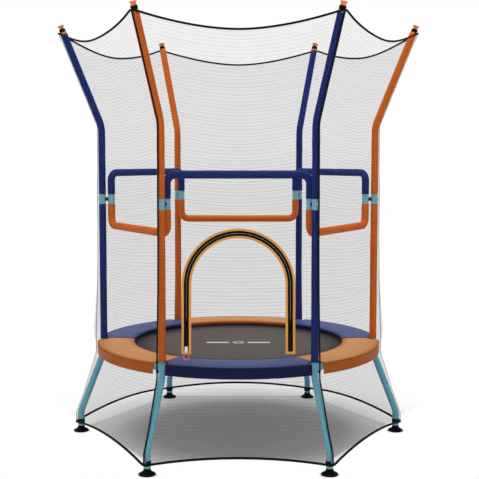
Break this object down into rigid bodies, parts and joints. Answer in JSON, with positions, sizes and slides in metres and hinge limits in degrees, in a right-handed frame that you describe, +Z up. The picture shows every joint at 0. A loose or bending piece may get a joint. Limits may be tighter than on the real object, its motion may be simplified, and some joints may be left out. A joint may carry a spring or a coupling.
{
  "type": "trampoline",
  "caption": "Small round trampoline with a padded edge, spring-hung mat, padded outward-leaning poles, handle bars and a see-through safety net with a zipped door.",
  "frame": {"origin": "on the floor, under the middle of the mat", "axes": "+Z up, -Y towards the bay with the zipped door, +X to the right as seen from the door"},
  "size_m": [1.7708, 1.5384, 2.0248],
  "materials": {
    "cyan_paint": "satin powder coat, pale cyan",
    "black_rubber": "moulded black rubber",
    "zinc_steel": "zinc plated steel",
    "orange_foam": "orange vinyl skin over closed-cell foam",
    "blue_foam": "navy vinyl skin over closed-cell foam",
    "orange_plastic": "moulded orange plastic",
    "black_plastic": "moulded black plastic",
    "blue_cover": "navy coated cover over foam",
    "orange_cover": "orange coated cover over foam",
    "mat_weave": "woven dark mat, matt",
    "black_webbing": "black woven webbing and cord",
    "net_mesh": "fine pale mesh that is seen through",
    "orange_tape": "orange woven tape",
    "black_zip": "black zip tape with plastic teeth",
    "white_plastic": "white moulded slider",
    "pink_plastic": "pink-red moulded pull",
    "grey_tape": "pale grey seam tape"
  },
  "bodies": {
    "stand": {"frame_tube_1": "cyan_paint", "frame_tube_2": "cyan_paint", "frame_tube_3": "cyan_paint", "frame_tube_4": "cyan_paint", "frame_tube_5": "cyan_paint", "frame_tube_6": "cyan_paint", "leg_1": "cyan_paint", "leg_2": "cyan_paint", "leg_3": "cyan_paint", "leg_4": "cyan_paint", "leg_5": "cyan_paint", "leg_6": "cyan_paint", "feet": "black_rubber", "pole_1": "zinc_steel", "pole_2": "zinc_steel", "pole_3": "zinc_steel", "pole_4": "zinc_steel", "pole_5": "zinc_steel", "pole_6": "zinc_steel", "pole_foam_1": "orange_foam", "pole_foam_2": "blue_foam", "pole_foam_3": "orange_foam", "pole_foam_4": "blue_foam", "pole_foam_5": "orange_foam", "pole_foam_6": "blue_foam", "pole_caps": "orange_plastic", "tube_bands": "cyan_paint", "band_spacers": "black_plastic", "band_bolts": "zinc_steel", "frame_bolts": "black_plastic", "bar_tubes": "zinc_steel", "top_bar_foam": "blue_foam", "low_bar_foam": "orange_foam", "pad_1": "blue_cover", "pad_2": "orange_cover", "pad_3": "blue_cover", "pad_4": "orange_cover", "pad_5": "blue_cover", "pad_6": "orange_cover", "springs": "zinc_steel", "net_panel_1": "net_mesh", "net_panel_2": "net_mesh", "net_panel_3": "net_mesh", "net_panel_4": "net_mesh", "net_panel_5": "net_mesh", "net_panel_6": "net_mesh", "door_binding": "orange_tape", "zip_fixed": "black_zip", "seam_tapes": "grey_tape", "top_hem": "black_webbing", "bottom_hem": "black_webbing", "net_ties": "black_webbing"},
    "mat_body": {"mat": "mat_weave", "mat_hem": "black_webbing", "mat_rings": "zinc_steel"},
    "door": {"door_flap": "net_mesh", "flap_binding": "orange_tape", "zip_flap": "black_zip"},
    "slider": {"zip_slider": "white_plastic"},
    "pull": {"zip_pull": "pink_plastic"}
  },
  "joints": [
    {"name": "mat_bounce", "type": "slide", "parent": "stand", "child": "mat_body", "axis": [0, 0, 1], "range_m": [-0.06, 0], "stiffness_N_per_m": 4000, "springref_m": 0.01, "deforming": ["springs"]},
    {"name": "door_hinge", "type": "hinge", "parent": "stand", "child": "door", "pos_m": [0, -0.6981, 0.53], "axis": [1, 0, 0], "range_deg": [0, 120]},
    {"name": "slider_run", "type": "slide", "parent": "door", "child": "slider", "axis": [0, 0.0982, 0.9952], "range_m": [0, 0.26]},
    {"name": "pull_pivot", "type": "hinge", "parent": "slider", "child": "pull", "pos_m": [-0.225, -0.68622, 0.55499], "axis": [-1, 0, 0], "range_deg": [0, 150]}
  ]
}
